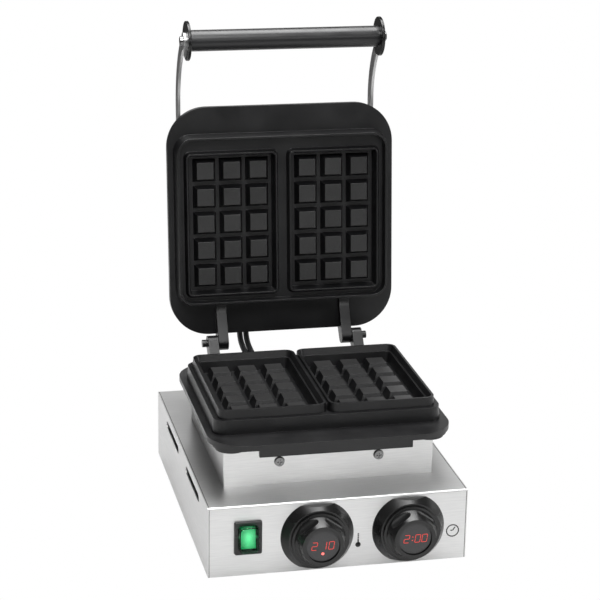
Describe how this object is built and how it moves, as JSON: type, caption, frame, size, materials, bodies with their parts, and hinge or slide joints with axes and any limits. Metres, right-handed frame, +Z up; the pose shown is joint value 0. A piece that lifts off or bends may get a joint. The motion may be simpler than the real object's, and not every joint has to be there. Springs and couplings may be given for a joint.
{
  "type": "brussels waffle maker",
  "caption": "Tabletop waffle maker on a steel base with hinged studded plates, a bar handle across the lid, two dials and a rocker switch",
  "frame": {"origin": "On the table, under the middle of the whole object with its lid open", "axes": "+X to the right seen from the front, +Y towards the hinge at the back, +Z up"},
  "size_m": [0.258, 0.3658, 0.496],
  "materials": {
    "casing_steel": "brushed stainless sheet",
    "inner_steel": "plain steel",
    "screw_steel": "plated screws and pins",
    "arm_steel": "flat steel bar",
    "coated_casting": "black non-stick coated casting",
    "black_plastic": "gloss black moulding",
    "grip_plastic": "satin black grip",
    "black_rubber": "rubber feet",
    "green_lens": "lit green rocker",
    "clear_cover": "clear soft cover",
    "display_glass": "dark display lens",
    "insulation": "mineral wool board",
    "inner_plastic": "moulded electrical parts",
    "circuit_board": "circuit board",
    "hose_plastic": "black hose"
  },
  "bodies": {
    "base": {"base_cover": "casing_steel", "bottom_plate": "inner_steel", "conduit_base_fitting": "inner_plastic", "control_board": "circuit_board", "cord_gland": "inner_plastic", "foot_screws": "screw_steel", "gland_nut": "inner_plastic", "hinge_pins": "screw_steel", "housing_screws": "screw_steel", "left_side_panel": "casing_steel", "lid_conduit": "hose_plastic", "lower_baking_plate": "coated_casting", "lower_heating_element": "inner_steel", "lower_insulation": "insulation", "panel_screws": "screw_steel", "plate_housing": "casing_steel", "plate_tray": "coated_casting", "power_relays": "inner_plastic", "right_side_panel": "casing_steel", "rubber_feet": "black_rubber", "safety_cutout": "inner_plastic", "switch_cover": "clear_cover", "switch_frame": "black_plastic", "temperature_bezel": "black_plastic", "temperature_display_lens": "display_glass", "temperature_display_stem": "black_plastic", "temperature_encoder": "inner_plastic", "temperature_probe": "inner_steel", "terminal_block": "inner_plastic", "timer_bezel": "black_plastic", "timer_display_lens": "display_glass", "timer_display_stem": "black_plastic", "timer_encoder": "inner_plastic"},
    "lid": {"upper_baking_plate": "coated_casting", "upper_heating_element": "inner_steel", "upper_insulation": "insulation", "upper_cover": "casing_steel", "cover_screws": "screw_steel", "left_handle_arm": "arm_steel", "right_handle_arm": "arm_steel", "arm_screws": "screw_steel", "left_handle_disc": "black_plastic", "right_handle_disc": "black_plastic", "handle_grip": "grip_plastic", "handle_rod": "screw_steel", "handle_nut": "screw_steel", "conduit_lid_fitting": "inner_plastic"},
    "rocker": {"rocker": "green_lens"},
    "temperature_knob": {"temperature_knob": "black_plastic"},
    "timer_knob": {"timer_knob": "black_plastic"}
  },
  "joints": [
    {"name": "lid_hinge", "type": "hinge", "parent": "base", "child": "lid", "pos_m": [0, 0.10561, 0.154], "axis": [-1, 0, 0], "range_deg": [-96, 0], "deforming": ["lid_conduit"]},
    {"name": "rocker_switch", "type": "hinge", "parent": "base", "child": "rocker", "pos_m": [-0.09, -0.15489, 0.0476], "axis": [1, 0, 0], "range_deg": [0, 16]},
    {"name": "temperature_knob_turn", "type": "hinge", "parent": "base", "child": "temperature_knob", "pos_m": [-0.0217, -0.17469, 0.0443], "axis": [0, -1, 0], "continuous": true},
    {"name": "timer_knob_turn", "type": "hinge", "parent": "base", "child": "timer_knob", "pos_m": [0.0696, -0.17469, 0.0443], "axis": [0, -1, 0], "continuous": true}
  ]
}
